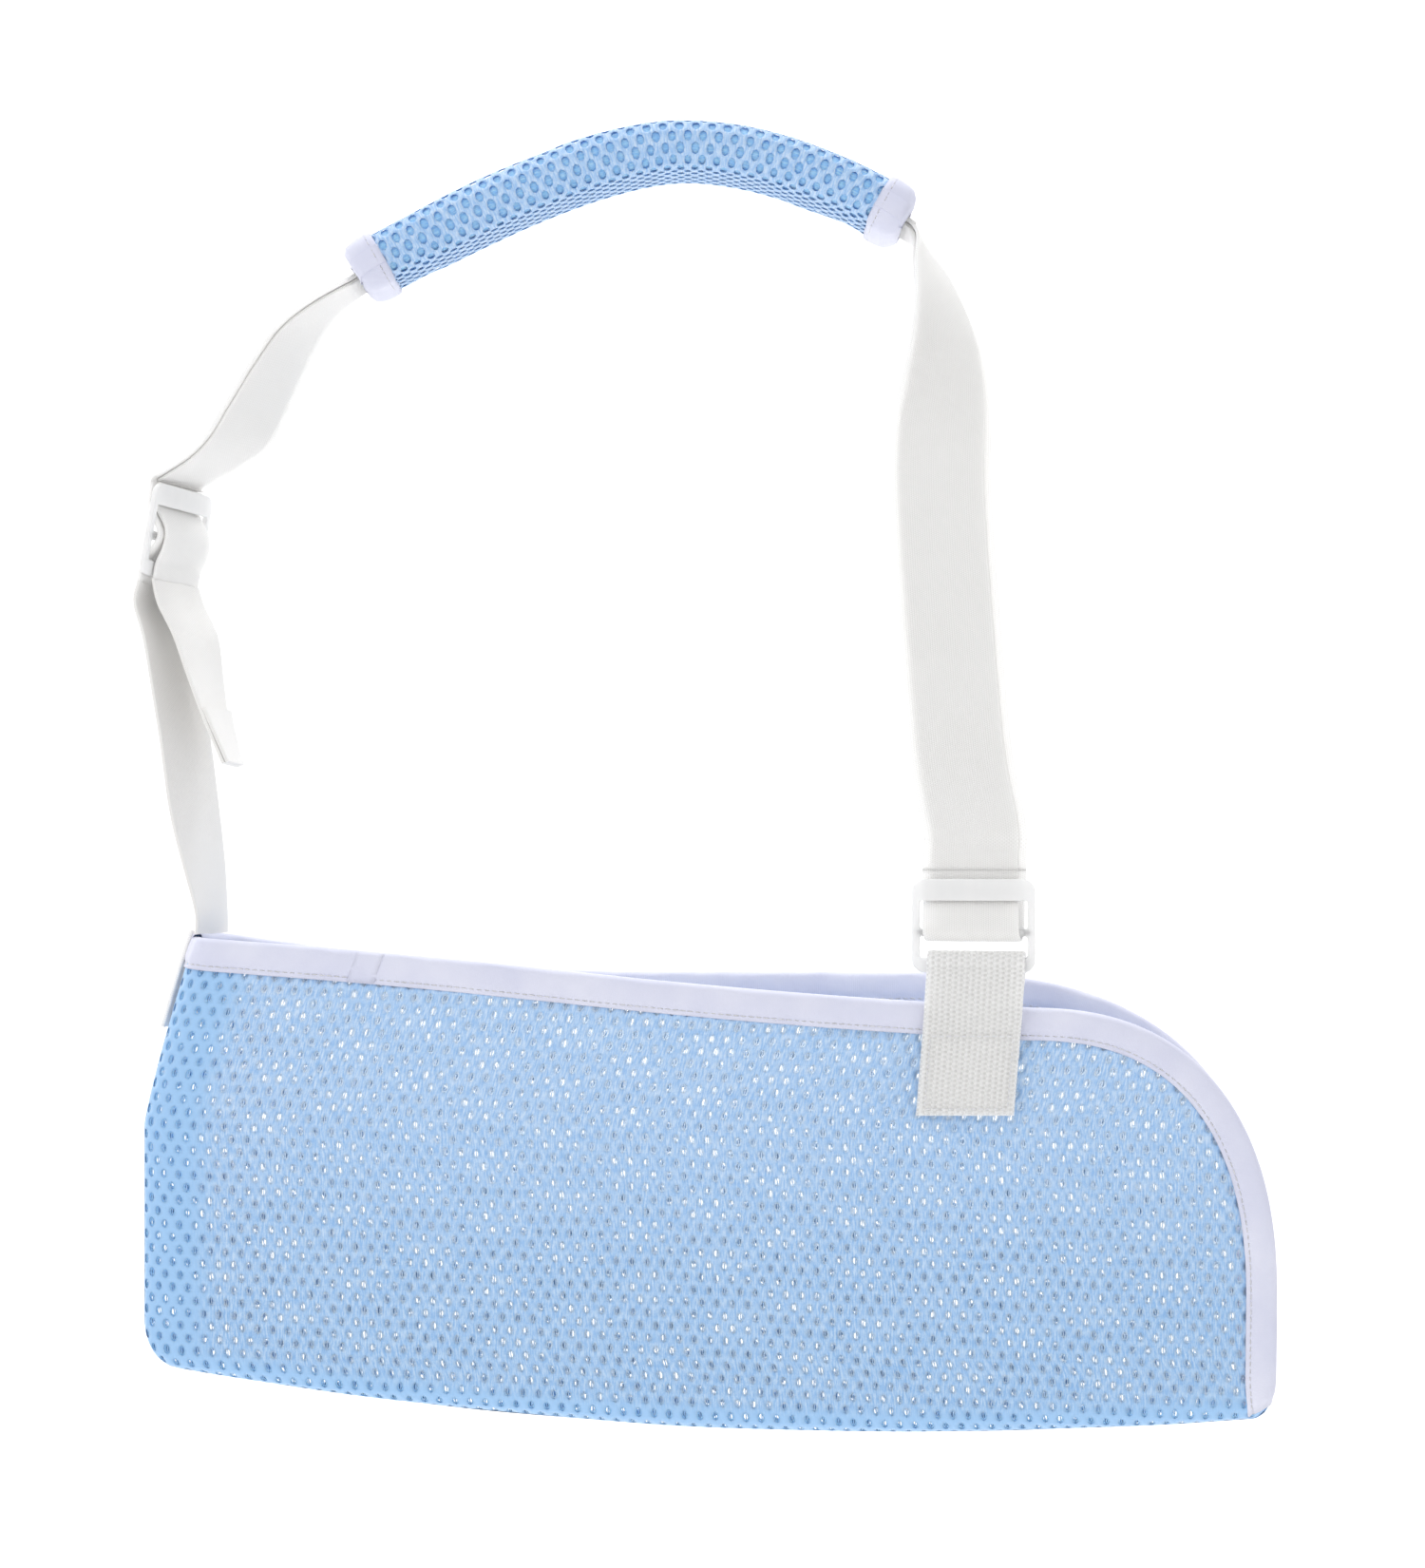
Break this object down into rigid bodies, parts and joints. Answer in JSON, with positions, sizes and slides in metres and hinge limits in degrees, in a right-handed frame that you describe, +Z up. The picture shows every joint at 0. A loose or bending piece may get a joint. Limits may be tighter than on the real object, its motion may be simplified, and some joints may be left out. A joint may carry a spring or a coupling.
{
  "type": "arm sling",
  "caption": "Breathable mesh arm sling that carries a bent forearm from the neck on a doubled, slider-adjusted webbing strap with a padded rest",
  "frame": {"origin": "middle of the neck pad's underside, where the sling rests on the neck", "axes": "+Z up, +X from the elbow end to the hand end, -Y the side seen in front of the wearer"},
  "size_m": [0.4558, 0.0737, 0.5247],
  "materials": {
    "mesh": "knitted spacer mesh",
    "binding": "smooth folded tape",
    "webbing": "fine woven webbing",
    "loop": "coarse woven webbing",
    "slider": "translucent natural nylon",
    "thread": "sewing thread"
  },
  "bodies": {
    "neck_pad": {"neck_pad_mesh": "mesh", "neck_pad_filling": "mesh", "neck_pad_binding_elbow_side": "binding", "neck_pad_binding_hand_side": "binding"},
    "strap": {"strap_pad_run_outer": "webbing", "strap_pad_run_inner": "webbing", "strap_hand_run_front": "webbing", "strap_hand_run_return": "webbing", "strap_elbow_run_outer": "webbing", "strap_elbow_run_inner": "webbing", "strap_elbow_run_single": "webbing"},
    "front_buckle": {"front_slider": "slider", "strap_fold_at_front_slider": "webbing"},
    "rear_buckle": {"rear_slider": "slider", "strap_pass_at_rear_slider": "webbing"},
    "tail": {"strap_tail": "webbing", "strap_tail_hem": "webbing"},
    "pouch": {"pouch_front_panel": "mesh", "pouch_back_panel": "mesh", "rim_binding_front": "binding", "rim_binding_back": "binding", "front_loop": "loop", "front_loop_stitching": "thread", "strap_end_on_elbow": "webbing", "strap_end_stitching": "thread"}
  },
  "joints": [
    {"name": "strap_through_pad", "type": "hinge", "parent": "neck_pad", "child": "strap", "pos_m": [-0.014, 0, -0.245], "axis": [0, 1, 0], "range_deg": [-0.9, 0.9]},
    {"name": "pouch_swing", "type": "hinge", "parent": "strap", "child": "pouch", "pos_m": [0.1175, -0.0315, -0.3149], "axis": [0.989, -0.1429, -0.0386], "range_deg": [-15, 15]},
    {"name": "front_slider_tilt", "type": "hinge", "parent": "strap", "child": "front_buckle", "pos_m": [0.1175, -0.0315, -0.3149], "axis": [0.9903, -0.1392, 0], "range_deg": [-10, 12]},
    {"name": "rear_slider_tilt", "type": "hinge", "parent": "strap", "child": "rear_buckle", "pos_m": [-0.20195, 0.008, -0.14556], "axis": [0.3368, 0.9397, -0.0594], "range_deg": [-12, 4]},
    {"name": "tail_swing", "type": "hinge", "parent": "rear_buckle", "child": "tail", "pos_m": [-0.20264, 0.00711, -0.16351], "axis": [0.3368, 0.9397, -0.0594], "range_deg": [-40, 3]}
  ]
}
